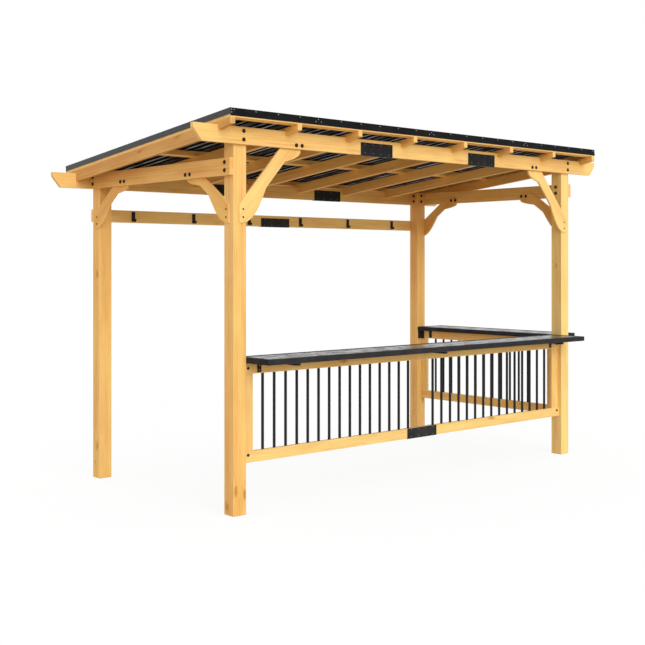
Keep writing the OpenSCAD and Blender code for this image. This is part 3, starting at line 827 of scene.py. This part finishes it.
def bracket_screw_spots():
    """Two screws on the outer leg of each angle bracket on the front and side rails."""
    front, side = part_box("front_rails"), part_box("side_rails")
    spots = []
    for drop in BRACKET_SCREW_DROPS:
        for x in (front[0].x + BRACKET_IN, front[1].x - BRACKET_IN):
            spots.append(((x, front[0].y - BRACKET_T, front[1].z - drop), (0, -1, 0)))
        for y in (side[0].y + BRACKET_IN, side[1].y - BRACKET_IN):
            spots.append(((side[1].x + BRACKET_T, y, side[1].z - drop), (1, 0, 0)))
    return spots


def add_hardware():
    bolt = bare_metal("bolt_brown", BOLT_BROWN, gloss=0.60, metallic=0.0, shine=0.15)
    zinc = bare_metal("zinc", ZINC, gloss=0.40)
    dull = bare_metal("dull_zinc", DULL_ZINC, gloss=0.45, metallic=0.4)
    front_bolts, front_screws = front_brace_spots()
    side_bolts, side_screws = side_brace_spots()
    hardware("header_bolts", BOLT_PROFILE, header_bolt_spots(), bolt)
    hardware("side_beam_bolts", BOLT_PROFILE, side_bolt_spots(), bolt)
    hardware("brace_bolts", BOLT_PROFILE, front_bolts + side_bolts, bolt)
    hardware("tab_screws", SCREW_PROFILE, front_screws + side_screws, bolt)
    hardware("rail_bolts", RAIL_BOLT_PROFILE, rail_bolt_spots(), bolt)
    hardware("trim_screws", RIVET_PROFILE, trim_screw_spots(), zinc)
    hardware("bracket_screws", RIVET_PROFILE, bracket_screw_spots(), zinc)
    hardware("roof_screws", ROOF_SCREW_PROFILE, roof_screw_spots(), zinc)
    hardware("splice_rivets", RIVET_PROFILE, rivet_spots(), dull)
    hardware("hook_screws", RIVET_PROFILE, hook_screw_spots(), bolt)


def seen_directly(tree):
    """One for rays that show the surface itself: from the camera, a mirror or a window."""
    path = add(tree, "ShaderNodeLightPath").outputs
    sharp = calc(tree, "MAXIMUM", path["Is Glossy Ray"], path["Is Transmission Ray"])
    return calc(tree, "MAXIMUM", path["Is Camera Ray"], sharp)


def add_floor():
    """Pale floor that keeps the shadow, and glows a little where it is seen directly."""
    bpy.ops.mesh.primitive_plane_add(size=2 * FLOOR_HALF)
    floor = bpy.context.object
    floor.name = "floor"
    material, tree, shader = new_material("floor_paint")
    place = object_place(tree)
    grit = noise(tree, place, 40.0, 3.0)
    shown = seen_directly(tree)
    paint = mix(tree, shown, FLOOR_BOUNCE, FLOOR_COLOUR)
    pale = mix(tree, spread(tree, grit, 0.3, 0.7, 0.0, 0.02), paint, WHITE)
    wire(tree, shader, pale, spread(tree, grit, 0.3, 0.7, 0.9, 0.95), grit, 0.0002, 0.1)
    shader.inputs["Specular IOR Level"].default_value = 0.0
    shader.inputs["Emission Color"].default_value = WHITE
    tree.links.new(calc(tree, "MULTIPLY", shown, FLOOR_GLOW), shader.inputs["Emission Strength"])
    floor.data.materials.append(material)


def add_light():
    """A wide soft sun from the front and an even sky that is white where it is seen directly."""
    sun = bpy.data.lights.new("key", "SUN")
    sun.energy = SUN_STRENGTH
    sun.angle = SUN_ANGLE
    lamp = bpy.data.objects.new("key", sun)
    lamp.rotation_mode = "QUATERNION"
    lamp.rotation_quaternion = SUN_FROM.to_track_quat("Z", "Y")
    bpy.context.scene.collection.objects.link(lamp)
    world = bpy.data.worlds.new("studio")
    world.use_nodes = True
    tree = world.node_tree
    tree.nodes.clear()
    level = spread(tree, seen_directly(tree), 0.0, 1.0, SKY_STRENGTH, 1.0)
    sky = add(tree, "ShaderNodeBackground", {"Color": WHITE, "Strength": level})
    add(tree, "ShaderNodeOutputWorld", {"Surface": sky.outputs[0]})
    bpy.context.scene.world = world


def add_camera():
    data = bpy.data.cameras.new("camera")
    data.sensor_width = CAMERA_SENSOR
    data.lens = CAMERA_LENS
    data.shift_y = CAMERA_SHIFT_Y
    data.clip_end = CAMERA_REACH
    camera = bpy.data.objects.new("camera", data)
    camera.location = CAMERA_PLACE
    camera.rotation_euler = (math.radians(90), 0, CAMERA_YAW)
    bpy.context.scene.collection.objects.link(camera)
    bpy.context.scene.camera = camera


bpy.context.scene.view_settings.view_transform = "Standard"
dress_timber()
dress_metal()
add_hardware()
add_floor()
add_light()
add_camera()
bpy.context.view_layer.update()
